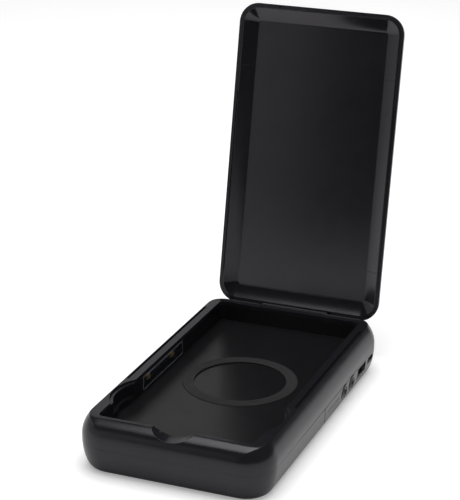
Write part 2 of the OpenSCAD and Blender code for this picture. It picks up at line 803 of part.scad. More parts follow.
// Lid shell with its light trap ribs and hinge lug
module lid_shell() {
    color(charcoal) lid_place() {
        difference() {
            union() {
                soft_slab(lid_w, lid_l, lid_r, crown_profile);
                lug();
            }
            difference() {
                lid_mouth(-1, lid_h - 1);
                lid_crown_skin();
            }
            for (x = [-1, 1]) {
                translate([x * magnet_x - 0.8, -lid_l / 2 - 1, -eps]) cube([1.6, 2.4, 1.4]);
                translate([x * (lug_w / 2 + 0.7) - 0.7, lid_l / 2 - lid_rim - 1, -eps])
                    cube([1.4, 4, 1.8]);
            }
            translate([0, hinge_y, hinge_z - case_h - lid_gap]) rotate([0, 90, 0])
                cylinder(r = pin_r + pin_clear, h = lug_w + 2, center = true);
        }
        for (s = [-1, 1])
            translate([s * (lid_w / 2 - lid_rim + rib_w / 2) - rib_w / 2, groove_y0 + 0.8, -rib_h])
                cube([rib_w, groove_y1 - groove_y0 - 1.6, rib_h + 0.5]);
    }
}

// The opening inside the lid's rim strip
module lid_mouth(z0, z1) {
    round_block(lid_w - 2 * lid_rim, lid_l - 2 * lid_rim, lid_r - lid_rim, z0, z1);
}

// What stays of the lid's crown when it is hollowed
module lid_crown_skin() {
    difference() {
        translate([0, 0, -5]) round_block(lid_w + 10, lid_l + 10, lid_r, 0, lid_h + 10);
        translate([0, 0, -lid_wall])
            soft_slab(lid_w - 2 * lid_wall, lid_l - 2 * lid_wall, lid_r - lid_wall, crown_profile);
        lid_mouth(-4, eps);
    }
}

// Hinge lug: barrel, arm and the heel that stops the open lid
module lug() {
    drop = hinge_z - case_h - lid_gap;
    arm_y0 = -hinge_back - lid_rim + eps;
    heel = near - slot_front;
    translate([-lug_w / 2, hinge_y, drop]) rotate([90, 0, 90]) linear_extrude(height = lug_w) {
        circle(barrel_r);
        translate([arm_y0, 0]) square([lid_rim - 2 * eps, -drop + 0.8]);
        rotate(lid_open) polygon([[heel, 1], [heel, -2.5], [-1.5, -2.5], [0, 0], [-2, 2]]);
    }
}

// Lid liner: the glossy panel with a cove all round
module lid_liner() {
    outer = seat + lid_rim;
    inner = outer + liner_edge;
    color([0.04, 0.04, 0.045]) lid_place() difference() {
        soft_slab(lid_w - 2 * outer, lid_l - 2 * outer, lid_r - outer, liner_profile);
        translate([0, 0, -eps]) soft_slab(lid_w - 2 * inner, lid_l - 2 * inner, lid_r - inner, cove_profile);
    }
}

module lid_magnets() {
    color(steel) lid_place() for (x = [-1, 1])
        translate([x * magnet_x - magnet_l / 2, -lid_l / 2 + lid_rim + 4.5, lid_hollow + liner_t])
            cube([magnet_l, magnet_h, lid_magnet_t]);
}

lower_case();
upper_case();
device_tray();
charge_pad();
charging_coil();
ferrite_sheet();
battery_cell();
battery_tape();
main_board();
board_screws();
case_screws();
usb_a_shell();
usb_a_insert();
usb_c_shell();
usb_c_insert();
light_guide();
status_leds();
power_button();
lamp_button();
button_switches();
window_left();
window_right();
lamp_board_left();
lamp_board_right();
emitters_left();
emitters_right();
lid_sensor();
base_magnets();
hinge_pin();
lid_shell();
lid_liner();
lid_magnets();
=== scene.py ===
"""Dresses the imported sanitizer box: finishes, small moulded details, studio and camera."""

import json
import logging
import math
from dataclasses import dataclass, field
from enum import Enum
from typing import Any, Callable, Iterable, Sequence

import bmesh
import bpy
from mathutils import Matrix, Vector

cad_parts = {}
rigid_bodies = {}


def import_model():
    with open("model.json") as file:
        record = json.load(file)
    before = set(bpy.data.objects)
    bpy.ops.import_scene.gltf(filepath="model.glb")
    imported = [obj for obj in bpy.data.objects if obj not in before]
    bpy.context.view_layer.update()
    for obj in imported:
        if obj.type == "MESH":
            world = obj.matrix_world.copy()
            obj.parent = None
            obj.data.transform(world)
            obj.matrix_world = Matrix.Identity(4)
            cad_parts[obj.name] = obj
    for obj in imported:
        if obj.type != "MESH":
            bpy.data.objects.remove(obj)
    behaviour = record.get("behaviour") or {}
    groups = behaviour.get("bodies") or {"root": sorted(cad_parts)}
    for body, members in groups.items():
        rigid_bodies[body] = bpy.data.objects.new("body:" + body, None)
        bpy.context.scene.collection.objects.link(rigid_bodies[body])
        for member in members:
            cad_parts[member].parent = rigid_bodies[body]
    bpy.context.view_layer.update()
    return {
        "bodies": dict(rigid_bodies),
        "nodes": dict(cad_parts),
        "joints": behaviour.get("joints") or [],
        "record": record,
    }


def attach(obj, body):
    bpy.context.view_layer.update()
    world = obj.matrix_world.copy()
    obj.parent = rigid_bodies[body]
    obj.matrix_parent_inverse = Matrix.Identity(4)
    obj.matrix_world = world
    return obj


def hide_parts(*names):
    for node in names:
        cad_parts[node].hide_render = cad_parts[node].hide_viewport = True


LOG = logging.getLogger("sanitizer_box")
MM = 0.001
MERGE = 2e-6  # points of a CAD mesh that lie closer are one, in metres
PLANE = math.radians(0.4)  # faces that meet at less than this are one plane
SMOOTH = math.radians(24)  # faces of a skin that meet at less are shaded as one
TOUCH = 1e-7  # points of a grown piece that lie closer are one, in metres
HARD = 0.7  # edges of a grown piece that turn by more stay hard, in radians
LOW, HIGH = 0.3, 0.7  # a noise seldom leaves this range
WHITE = (1, 1, 1, 1)
AS_IS = (1, 1, 1)
MIRRORED = (-1, 1, 1)
HERE = (0, 0, 0)
Colour = tuple[float, float, float]
Place = tuple[float, float, float]
Pair = tuple[float, float]
Socket = bpy.types.NodeSocket
Piece = bpy.types.Object
Pieces = Iterable[Piece]


class Grain(Enum):
    """Cell size of a surface's fine texture, in cycles a metre."""

    SPARK = 5200.0
    SATIN = 3200.0
    POLISHED = 900.0
    BRUSHED = 1500.0


class Side(Enum):
    """A long side of the box, with its sign along X."""

    LEFT = -1
    RIGHT = 1


class Tree:
    """A node tree that code draws."""

    def __init__(self, tree: bpy.types.NodeTree) -> None:
        """Takes up an existing tree."""
        self.tree = tree

    def add(
        self, kind: str, inputs: dict[Any, Any] | None = None, **settings: Any
    ) -> bpy.types.Node:
        """Adds a node.

        Args:
            kind: the node's type.
            inputs: values or sockets for its inputs, by name or number.
            **settings: its properties.

        Returns:
            The node.
        """
        node = self.tree.nodes.new(kind)
        for key, value in settings.items():
            setattr(node, key, value)
        for key, value in (inputs or {}).items():
            if isinstance(value, Socket):
                self.tree.links.new(value, node.inputs[key])
            else:
                node.inputs[key].default_value = value
        return node


class NodePen(Tree):
    """Draws the node tree of one material."""

    def __init__(self, name: str) -> None:
        """Starts an empty material of this name."""
        self.material = bpy.data.materials.new(name)
        self.material.use_nodes = True
        super().__init__(self.material.node_tree)
        self.tree.nodes.clear()
        self.coords = self.add("ShaderNodeTexCoord").outputs["Object"]

    def shader(self, inputs: dict[str, Any]) -> bpy.types.Material:
        """Ends the tree with the principled shader.

        Args:
            inputs: values or sockets for the shader's inputs, by name.

        Returns:
            The material.
        """
        shader = self.add("ShaderNodeBsdfPrincipled", inputs)
        self.add("ShaderNodeOutputMaterial", {"Surface": shader.outputs[0]})
        return self.material

    def noise(self, scale: float, detail: float = 3.0, stretch: Place = AS_IS) -> Socket:
        """Adds a noise on the object's own coordinates.

        Args:
            scale: cycles a metre.
            detail: octaves of the noise.
            stretch: how the coordinates are scaled along each axis.

        Returns:
            The noise's value socket.
        """
        place = {"Vector": self.coords, "Scale": stretch}
        where = self.add("ShaderNodeMapping", place).outputs[0]
        inputs = {"Vector": where, "Scale": scale, "Detail": detail}
        return self.add("ShaderNodeTexNoise", inputs).outputs["Fac"]

    def ramp(self, value: Socket, stops: Sequence[tuple[float, Colour]]) -> Socket:
        """Turns a value into a colour.

        Args:
            value: the socket to read.
            stops: two places on the ramp and their colours.

        Returns:
            The colour socket.
        """
        node = self.add("ShaderNodeValToRGB", {0: value})
        for element, (place, colour) in zip(node.color_ramp.elements, stops):
            element.position = place
            element.color = (*colour, 1)
        return node.outputs[0]

    def span(self, value: Socket, low: float, high: float) -> Socket:
        """Maps the range that a noise keeps to onto another one.

        Args:
            value: the socket to read.
            low: result where the noise is low.
            high: result where the noise is high.

        Returns:
            The mapped socket.
        """
        inputs = {"Value": value, "From Min": LOW, "From Max": HIGH, "To Min": low, "To Max": high}
        return self.add("ShaderNodeMapRange", inputs).outputs[0]

    def bump(
        self, height: Socket, strength: float, distance: float, base: Socket | None = None
    ) -> Socket:
        """Adds a bump.

        Args:
            height: the socket with the height.
            strength: how strong the bump is.
            distance: how high it is, in metres.
            base: the normal of a bump below this one.

        Returns:
            The normal socket.
        """
        inputs = {"Height": height, "Strength": strength, "Distance": distance}
        if base is not None:
            inputs["Normal"] = base
        return self.add("ShaderNodeBump", inputs).outputs[0]


@dataclass(frozen=True)
class Plastic:
    """A moulded plastic: a fine grain, faint flow marks and uneven gloss.

    Attributes:
        name: name of the material.
        colour: base colour.
        roughness: middle of its roughness.
        grain: its fine texture.
        relief: strength of the fine texture.
        spread: how far colour and gloss vary.
        shine: strength of its reflection.
        tint: colour of its reflection.
    """

    name: str
    colour: Colour
    roughness: float = 0.45
    grain: Grain = Grain.SATIN
    relief: float = 0.25
    spread: float = 0.12
    shine: float = 0.5
    tint: Colour = (1.0, 1.0, 1.0)

    def material(self) -> bpy.types.Material:
        """Returns the Blender material."""
        pen = NodePen(self.name)
        flow = pen.noise(38, 2, (1, 0.45, 1))
        dark = tuple(c * (1 - self.spread) for c in self.colour)
        light = tuple(min(1, c * (1 + self.spread)) for c in self.colour)
        grain = pen.bump(pen.noise(self.grain.value, 2), self.relief, 0.03 * MM)
        return pen.shader({
            "Base Color": pen.ramp(flow, [(LOW, dark), (HIGH, light)]),
            "Roughness": pen.span(pen.noise(120, 5), self.roughness * 0.92, self.roughness * 1.08),
            "Normal": pen.bump(flow, 0.012, 0.4 * MM, grain),
            "Specular IOR Level": self.shine,
            "Specular Tint": (*self.tint, 1),
        })


@dataclass(frozen=True)
class Metal:
    """A metal with fine lines and uneven polish.

    Attributes:
        name: name of the material.
        colour: colour of its reflection.
        roughness: middle of its roughness.
        lines: how the fine lines are stretched along each axis.
        relief: strength of the fine lines.
    """

    name: str
    colour: Colour
    roughness: float = 0.3
    lines: tuple[float, float, float] = (1, 0.06, 1)
    relief: float = 0.15

    def material(self) -> bpy.types.Material:
        """Returns the Blender material."""
        pen = NodePen(self.name)
        dark = tuple(c * 0.86 for c in self.colour)
        hair = pen.noise(Grain.BRUSHED.value, 3, self.lines)
        return pen.shader({
            "Base Color": pen.ramp(pen.noise(220, 3), [(0.25, dark), (0.75, self.colour)]),
            "Roughness": pen.span(hair, self.roughness * 0.8, self.roughness * 1.25),
            "Normal": pen.bump(hair, self.relief, 0.02 * MM),
            "Metallic": 1.0,
        })


@dataclass(frozen=True)
class Clear:
    """A clear plate or guide, slightly tinted.

    Attributes:
        name: name of the material.
        colour: its tint.
        roughness: how frosted it is.
        ior: index of refraction.
    """

    name: str
    colour: Colour
    roughness: float = 0.05
    ior: float = 1.46

    def material(self) -> bpy.types.Material:
        """Returns the Blender material."""
        pen = NodePen(self.name)
        haze = pen.noise(160, 4)
        light = tuple(min(1, c * 1.05) for c in self.colour)
        return pen.shader({
            "Base Color": pen.ramp(haze, [(LOW, self.colour), (HIGH, light)]),
            "Roughness": pen.span(haze, self.roughness, self.roughness + 0.05),
            "Transmission Weight": 1.0,
            "IOR": self.ior,
        })


@dataclass(frozen=True)
class Laminate:
    """A circuit board: solder resist with faint tracks and pads.

    Attributes:
        name: name of the material.
        colour: colour of the resist.
        track: colour over the copper.
    """

    name: str
    colour: Colour
    track: Colour

    def material(self) -> bpy.types.Material:
        """Returns the Blender material."""
        pen = NodePen(self.name)
        cells = pen.add(
            "ShaderNodeTexVoronoi", {"Vector": pen.coords, "Scale": 420},
            feature="DISTANCE_TO_EDGE", distance="CHEBYCHEV",
        )
        edge = cells.outputs["Distance"]
        return pen.shader({
            "Base Color": pen.ramp(edge, [(0.04, self.track), (0.09, self.colour)]),
            "Roughness": pen.span(pen.noise(300), 0.3, 0.42),
            "Normal": pen.bump(edge, 0.1, 0.05 * MM),
            "Coat Weight": 0.4,
        })


Finish = Plastic | Metal | Clear | Laminate

FINISHES: tuple[Finish, ...] = (
    Plastic("case_plastic", (0.0108, 0.0102, 0.0128), 0.22, Grain.SPARK, 0.1,
            shine=0.39, tint=(0.965, 0.94, 1.0)),
    Plastic("tray_plastic", (0.0065, 0.0065, 0.0075), 0.3, Grain.SATIN, 0.08, shine=0.4),
    Plastic("liner_gloss", (0.0085, 0.0081, 0.0098), 0.15, Grain.POLISHED, 0.03,
            shine=0.58, tint=(0.98, 0.94, 1.0)),
    Plastic("button_plastic", (0.015, 0.015, 0.017), 0.25, Grain.POLISHED, 0.05),
    Plastic("switch_plastic", (0.02, 0.02, 0.022), 0.5),
    Plastic("pad_rubber", (0.016, 0.016, 0.017), 0.7, Grain.SATIN, 0.5),
    Plastic("ferrite", (0.05, 0.047, 0.045), 0.6, Grain.SATIN, 0.4),
    Plastic("socket_white", (0.62, 0.62, 0.6), 0.35, Grain.POLISHED, 0.05),
    Plastic("socket_black", (0.012, 0.012, 0.012), 0.35, Grain.POLISHED, 0.05),
    Plastic("led_plastic", (0.7, 0.66, 0.5), 0.3, Grain.POLISHED, 0.05),
    # Darker than the nickel's own colour: painted shade inside the socket mouths.
    Metal("socket_steel", (0.34, 0.345, 0.36), 0.3),
    Metal("screw_steel", (0.42, 0.42, 0.44), 0.34),
    Metal("magnet_chrome", (0.7, 0.7, 0.72), 0.12),
    Metal("coil_copper", (0.7, 0.32, 0.16), 0.3, (1, 1, 1)),
    Metal("emitter_gold", (0.98, 0.66, 0.24), 0.42, (1, 1, 1)),
    Metal("cell_foil", (0.62, 0.63, 0.66), 0.42, (1, 1, 1), 0.5),
    Clear("window_glass", (0.8, 0.87, 1.0), 0.03),
    Clear("clear_plastic", (0.8, 0.84, 0.9), 0.3),
    Clear("lens_clear", (0.95, 0.95, 1.0), 0.03, 1.5),
    # A light grey that paints the highlight on the lamp windows' clear edges.
    Plastic("window_edge_highlight", (0.13, 0.135, 0.15), 0.18, Grain.POLISHED, 0.03),
    Plastic("smoked_lens", (0.002, 0.002, 0.0025), 0.3, Grain.POLISHED, 0.03, shine=0.1),
    # Near-black with little gloss: painted shade in the buttons' moulded ring and sign.
    Plastic("recess_shade", (0.0025, 0.0025, 0.003), 0.6, Grain.SATIN, 0.05, shine=0.08),
    Laminate("board_laminate", (0.008, 0.05, 0.025), (0.02, 0.11, 0.05)),
    Laminate("lamp_laminate", (0.006, 0.006, 0.007), (0.014, 0.014, 0.015)),
)


def shade(shape: bmesh.types.BMesh, limit: float) -> None:
    """Shades a closed shape smoothly, apart from its hard edges.

    Args:
        shape: the shape.
        limit: angle from which an edge is hard, in radians.
    """
    for edge in shape.edges:
        edge.smooth = len(edge.link_faces) == 2 and edge.calc_face_angle(math.pi) < limit
    for face in shape.faces:
        face.smooth = True


def keep(shape: bmesh.types.BMesh, mesh: bpy.types.Mesh) -> bpy.types.Mesh:
    """Writes a shape into a mesh, frees it and returns the mesh."""
    shape.to_mesh(mesh)
    shape.free()
    return mesh


def add_object(name: str, data: bpy.types.ID) -> bpy.types.Object:
    """Puts a new object with this data into the scene."""
    thing = bpy.data.objects.new(name, data)
    bpy.context.scene.collection.objects.link(thing)
    return thing


def plain_mesh(thing: bpy.types.Object) -> bpy.types.Mesh:
    """Returns what an object's curve or modifiers make, as a plain mesh."""
    bpy.context.view_layer.update()
    graph = bpy.context.evaluated_depsgraph_get()
    return bpy.data.meshes.new_from_object(thing.evaluated_get(graph))


class Workshop:
    """Keeps the frame and the materials, and makes pieces."""

    def __init__(self, frame: dict[str, Any]) -> None:
        self.frame = frame
        self.materials = {finish.name: finish.material() for finish in FINISHES}
        self.slots = {s["node"]: s["material_slot"] for s in frame["record"]["subparts"]}
        bodies = frame["record"]["behaviour"]["bodies"]
        self.body_of = {node: body for body, nodes in bodies.items() for node in nodes}

    def paint(self, piece: Piece, finish: str, slot: str | None = None) -> None:
        """Gives a piece its only material.

        Args:
            piece: the piece.
            finish: name of the finish.
            slot: the record's slot, where it isn't called as the finish; not used.
        """
        piece.data.materials.clear()
        piece.data.materials.append(self.materials[finish])
        slot or finish

    def place(
        self, name: str, mesh: bpy.types.Mesh, finish: str, body: str, slot: str | None = None
    ) -> Piece:
        """Puts a finished mesh on a body.

        Args:
            name: the piece's name.
            mesh: its mesh, in the shared frame.
            finish: name of its finish.
            body: the body that it rides on.
            slot: the record's slot, where it isn't called as the finish.

        Returns:
            The piece.
        """
        piece = add_object(name, mesh)
        self.paint(piece, finish, slot)
        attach(piece, body)
        return piece

    def dress(self, node: str) -> None:
        """Paints a CAD node with the finish of its slot."""
        piece = self.frame["nodes"][node]
        piece.data.materials.clear()
        piece.data.materials.append(self.materials[self.slots[node]])

    def refine(
        self,
        node: str,
        bevel: float,
        shape: Callable[[bpy.types.Mesh], None] | None = None,
        cuts: Sequence[float] = (),
    ) -> Piece:
        """Makes a smooth copy of a CAD node that replaces it.

        Args:
            node: the node's name.
            bevel: width of the bevel on its hard edges, in metres.
            shape: a last change to the copy's points, before its edges are rounded.
            cuts: places along Y where ring-shaped faces are divided.

        Returns:
            The copy.
        """
        source = self.frame["nodes"][node].data
        points = [v.co.copy() for v in source.vertices]
        corners = [tuple(p.vertices) for p in source.polygons]
        mesh = bpy.data.meshes.new(node + "_skin")
        mesh.from_pydata(points, [], corners)
        if shape is not None:
            shape(mesh)
        skin = bmesh.new()
        skin.from_mesh(mesh)
        bmesh.ops.remove_doubles(skin, verts=skin.verts, dist=MERGE)
        bmesh.ops.dissolve_degenerate(skin, edges=skin.edges, dist=MERGE)
        bmesh.ops.dissolve_limit(skin, angle_limit=PLANE, verts=skin.verts, edges=skin.edges)
        for y in cuts:
            whole = [*skin.verts, *skin.edges, *skin.faces]
            bmesh.ops.bisect_plane(
                skin, geom=whole, dist=MERGE / 2, plane_co=(0, y, 0), plane_no=(0, 1, 0)
            )
        shade(skin, SMOOTH)
        piece = add_object(node + "_skin", keep(skin, mesh))
        self.round_edges(piece, bevel)
        self.paint(piece, self.slots[node])
        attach(piece, self.body_of[node])
        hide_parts(node)
        return piece

    def round_edges(self, piece: Piece, width: float) -> None:
        """Bevels a piece's hard edges and keeps the result as its mesh.

        Args:
            piece: the piece.
            width: width of the bevel, in metres.
        """
        rounding = piece.modifiers.new("edges", "BEVEL")
        rounding.width = width
        rounding.segments = 2
        rounding.limit_method = "ANGLE"
        rounding.angle_limit = SMOOTH
        rounding.use_clamp_overlap = True
        level = piece.modifiers.new("level", "WEIGHTED_NORMAL")
        level.mode = "FACE_AREA"
        level.weight = 50
        level.keep_sharp = True
        plain = plain_mesh(piece)
        piece.modifiers.clear()
        piece.data = plain


class Pattern(Tree):
    """A Geometry Nodes tree with named sizes that grows what repeats on a piece."""

    KINDS = {int: "NodeSocketInt", float: "NodeSocketFloat", tuple: "NodeSocketVector"}

    def __init__(self, name: str, **sizes: Any) -> None:
        """Starts a tree.

        Args:
            name: name of the tree and of what it grows.
            **sizes: names and values of its inputs: counts, lengths in metres, or places.
        """
        super().__init__(bpy.data.node_groups.new(name, "GeometryNodeTree"))
        self.name = name
        self.sizes = sizes
        face = self.tree.interface
        face.new_socket("Geometry", in_out="OUTPUT", socket_type="NodeSocketGeometry")
        for key, value in sizes.items():
            face.new_socket(key, in_out="INPUT", socket_type=self.KINDS[type(value)])
        face.new_socket("Finish", in_out="INPUT", socket_type="NodeSocketMaterial")
        self.given = self.add("NodeGroupInput").outputs

    def calc(self, kind: str, first: Any, second: Any = 0.0) -> Socket:
        """Adds a math node.

        Args:
            kind: the operation.
            first: its first value or socket.
            second: its second value or socket.

        Returns:
            The result's socket.
        """
        return self.add("ShaderNodeMath", {0: first, 1: second}, operation=kind).outputs[0]

    def tube(self, curve: Socket, radius: Any, sides: int = 6) -> Socket:
        """Turns a curve into a round strand.

        Args:
            curve: the curve's socket.
            radius: radius of the strand.
            sides: how many sides it has.

        Returns:
            The mesh's socket.
        """
        size = {"Resolution": sides, "Radius": radius}
        ring = self.add("GeometryNodeCurvePrimitiveCircle", size)
        cover = {"Curve": curve, "Profile Curve": ring.outputs[0], "Fill Caps": True}
        return self.add("GeometryNodeCurveToMesh", cover).outputs[0]

    def copies(self, points: Socket, shape: Socket, scale: Any = AS_IS) -> Socket:
        """Puts a copy of a shape on each point.

        Args:
            points: the points' socket.
            shape: the shape's socket.
            scale: the copies' scale.

        Returns:
            The realized copies' socket.
        """
        what = {"Points": points, "Instance": shape, "Scale": scale}
        placed = self.add("GeometryNodeInstanceOnPoints", what)
        return self.add("GeometryNodeRealizeInstances", {0: placed.outputs[0]}).outputs[0]

    def row(self, count: Any, start: Any, step: Any) -> Socket:
        """Adds a row of points.

        Args:
            count: how many.
            start: the first point.
            step: the way from one to the next.

        Returns:
            The points' socket.
        """
        inputs = {"Count": count, "Start Location": start, "Offset": step}
        return self.add("GeometryNodeMeshLine", inputs, mode="OFFSET").outputs[0]

    def moved(self, shape: Socket, place: Any = HERE, scale: Any = AS_IS) -> Socket:
        """Moves and scales a shape.

        Args:
            shape: the shape's socket.
            place: where it goes.
            scale: its scale.

        Returns:
            The moved shape's socket.
        """
        inputs = {"Geometry": shape, "Translation": place, "Scale": scale}
        return self.add("GeometryNodeTransform", inputs).outputs[0]

    def on_both_sides(self, right: Socket) -> Socket:
        """Joins a shape at the right with its mirror image at the left.

        Args:
            right: the shape's socket.

        Returns:
            The socket of both.
        """
        both = self.add("GeometryNodeJoinGeometry", {0: right})
        self.tree.links.new(self.moved(right, scale=MIRRORED), both.inputs[0])
        return both.outputs[0]

    def repeated(self, shape: Socket) -> Socket:
        """Puts copies of a shape on the row that the inputs Count, Start and Step give."""
        given = self.given
        return self.copies(self.row(given["Count"], given["Start"], given["Step"]), shape)

    def lens(self, segments: int, rings: int) -> Socket:
        """Adds a ball of the input Radius, scaled by the input Flat.

        Args:
            segments: its facets all round.
            rings: its facets from pole to pole.

        Returns:
            The lens's socket.
        """
        size = {"Segments": segments, "Rings": rings, "Radius": self.given["Radius"]}
        ball = self.add("GeometryNodeMeshUVSphere", size)
        return self.moved(ball.outputs[0], scale=self.given["Flat"])

    def grow(
        self,
        shop: Workshop,
        shape: Socket,
        finish: str,
        body: str,
        slot: str | None = None,
        turn: Matrix | None = None,
    ) -> Piece:
        """Ends the tree, runs it once and keeps the result as a plain mesh.

        Args:
            shop: the workshop.
            shape: the socket of the finished shape.
            finish: name of its finish.
            body: the body that it rides on.
            slot: the record's slot, where it isn't called as the finish.
            turn: a last move into place.

        Returns:
            The piece.
        """
        real = self.add("GeometryNodeRealizeInstances", {0: shape})
        coat = {"Geometry": real.outputs[0], "Material": self.given["Finish"]}
        done = self.add("GeometryNodeSetMaterial", coat)
        self.add("NodeGroupOutput", {0: done.outputs[0]})
        seed = add_object(self.name + "_seed", bpy.data.meshes.new(self.name + "_seed"))
        nodes = seed.modifiers.new("grow", "NODES")
        nodes.node_group = self.tree
        values = {**self.sizes, "Finish": shop.materials[finish]}
        for item in self.tree.interface.items_tree:
            if item.in_out == "INPUT":
                nodes[item.identifier] = values[item.name]
        mesh = plain_mesh(seed)
        mesh.name = self.name
        bpy.data.objects.remove(seed)
        grown = bmesh.new()
        grown.from_mesh(mesh)
        bmesh.ops.remove_doubles(grown, verts=grown.verts, dist=TOUCH)
        bmesh.ops.recalc_face_normals(grown, faces=grown.faces)
        shade(grown, HARD)
        if turn is not None:
            grown.transform(turn)
        return shop.place(self.name, keep(grown, mesh), finish, body, slot)


def stroke(name: str, runs: Sequence[Sequence[Vector]], radius: float) -> bpy.types.Mesh:
    """Makes fine round strokes along runs of points.

    Args:
        name: name of the mesh.
        runs: the points of each stroke, in metres.
        radius: radius of a stroke.

    Returns:
        The mesh.
    """
    curve = bpy.data.curves.new(name, "CURVE")
    curve.dimensions = "3D"
    curve.bevel_depth = radius
    curve.bevel_resolution = 2
    curve.use_fill_caps = True
    for run in runs:
        line = curve.splines.new("POLY")
        line.use_cyclic_u = len(run) > 2 and (run[0] - run[-1]).length < TOUCH
        if line.use_cyclic_u:
            run = run[:-1]
        line.points.add(len(run) - 1)
        for point, place in zip(line.points, run):
            point.co = (*place, 1)
    holder = add_object(name, curve)
    mesh = plain_mesh(holder)
    bpy.data.objects.remove(holder)
    mesh.materials.clear()
    shape = bmesh.new()
    shape.from_mesh(mesh)
    bmesh.ops.remove_doubles(shape, verts=shape.verts, dist=TOUCH)
    bmesh.ops.recalc_face_normals(shape, faces=shape.faces)
    return keep(shape, mesh)


@dataclass
class Case:
    """Both halves of the case.

    Attributes:
        half_width: half the case's width, in metres.
        half_length: half its length.
        corner: radius of its corners, seen from above.
        split: height of the joint between the halves.
        belly: height of the belly's curve.
        belly_in: how far the belly draws in at the underside.
        reveal: how deep the joint's groove is in the CAD.
        groove: how deep it shows.
        edge: width of the rounding of its edges.
        cuts: places along Y where ring-shaped faces are divided.
    """

    half_width: float = 50.6 * MM
    half_length: float = 89.9 * MM
    corner: float = 16.1 * MM
    split: float = 14.5 * MM
    belly: float = 15.5 * MM
    belly_in: float = 5.8 * MM
    reveal: float = 0.2 * MM
    groove: float = 0.06 * MM
    edge: float = 0.18 * MM
    cuts: tuple[float, ...] = (-62 * MM, -12 * MM, 38 * MM)

    def side(self, z: float) -> float:
        """Returns how far the right side stands from the middle at a height."""
        sink = max(0.0, (self.belly - z) / self.belly)
        return self.half_width - self.belly_in * (1 - math.sqrt(1 - sink * sink))

    def close_joint(self, mesh: bpy.types.Mesh) -> None:
        """Draws the joint's groove shallower on a half's skin, to the fine line it is.

        Args:
            mesh: the skin's mesh.
        """
        lift = self.reveal - self.groove
        # Only points on the joint line move, and of those only the ones at the outer wall.
        reach, depth = 0.03 * MM, 0.5 * MM
        straight = (self.half_width - self.corner, self.half_length - self.corner)
        for vertex in mesh.vertices:
            if abs(vertex.co.z - self.split) > reach:
                continue
            away = Vector((
                *(math.copysign(max(0, abs(c) - flat), c) for c, flat in zip(vertex.co, straight)),
                0,
            ))
            if away.length > self.corner - depth:
                vertex.co += away.normalized() * lift

    def build(self, shop: Workshop) -> Pieces:
        """Makes the case halves."""
        for node in ("lower_case", "upper_case"):
            yield shop.refine(node, self.edge, shape=self.close_joint, cuts=self.cuts)


@dataclass
class Lid:
    """The lid's shell, liner and the clip ribs that cross its cove.

    Attributes:
        edge: width of the rounding of its edges.
        hinge: the hinge's place along Y and Z.
        open_by: how far it stands open, in degrees.
        foot: height of the closed lid's lower face.
        cove_edge: half the width between the cove's outer edges.
        cove_width: width of the cove.
        cove_depth: depth of the cove.
        cove_turn: how far the cove's curve turns, in degrees.
        rib: radius of a clip rib.
        rib_places: where the ribs cross the cove, along the closed lid.
        rib_steps: how many straight steps a rib has.
        liner_edge: width of the rounding of the liner's edges.
    """

    edge: float = 0.18 * MM
    hinge: Pair = (85.4 * MM, 23.05 * MM)
    open_by: float = 101.3
    foot: float = 27.6 * MM
    cove_edge: float = 44.7 * MM
    cove_width: float = 7.5 * MM
    cove_depth: float = 4.2 * MM
    cove_turn: float = 62.0
    rib: float = 0.16 * MM
    rib_places: Pair = (-49.25 * MM, 56.75 * MM)
    rib_steps: int = 12
    liner_edge: float = 0.1 * MM

    def opened(self) -> Matrix:
        """Returns the move from the closed lid's place to the open one."""
        pin = Vector((0, *self.hinge))
        turn = Matrix.Rotation(-math.radians(self.open_by), 4, "X")
        return Matrix.Translation(pin) @ turn @ Matrix.Translation(-pin)

    def clip_ribs(self, shop: Workshop) -> Piece:
        """Grows the fine ribs that cross the cove at the liner's clips."""
        first, last = self.rib_places
        ribs = Pattern(
            "clip_ribs", Width=self.cove_width, Depth=self.cove_depth,
            Turn=math.radians(self.cove_turn), Radius=self.rib, Edge=self.cove_edge,
            Foot=self.foot, Count=2, Start=(0.0, first, 0.0), Step=(0.0, last - first, 0.0),
        )
        given = ribs.given
        line = ribs.row(self.rib_steps + 1, HERE, HERE)
        index = ribs.add("GeometryNodeInputIndex").outputs[0]
        part = ribs.calc("DIVIDE", index, float(self.rib_steps))
        away = ribs.calc("SUBTRACT", given["Edge"], ribs.calc("MULTIPLY", part, given["Width"]))
        turned = ribs.calc("SINE", ribs.calc("MULTIPLY", part, given["Turn"]))
        bend = ribs.calc("DIVIDE", turned, ribs.calc("SINE", given["Turn"]))
        rise = ribs.calc("ADD", given["Foot"], ribs.calc("MULTIPLY", bend, given["Depth"]))
        point = ribs.add("ShaderNodeCombineXYZ", {"X": away, "Z": rise})
        moves = {"Geometry": line, "Position": point.outputs[0]}
        bent = ribs.add("GeometryNodeSetPosition", moves)
        curve = ribs.add("GeometryNodeMeshToCurve", {0: bent.outputs[0]})
        strand = ribs.tube(curve.outputs[0], given["Radius"])
        both = ribs.on_both_sides(ribs.repeated(strand))
        return ribs.grow(shop, both, "liner_gloss", "lid", turn=self.opened())

    def build(self, shop: Workshop) -> Pieces:
        """Makes the lid's skins and ribs."""
        yield shop.refine("lid_shell", self.edge)
        yield shop.refine("lid_liner", self.liner_edge)
        yield self.clip_ribs(shop)


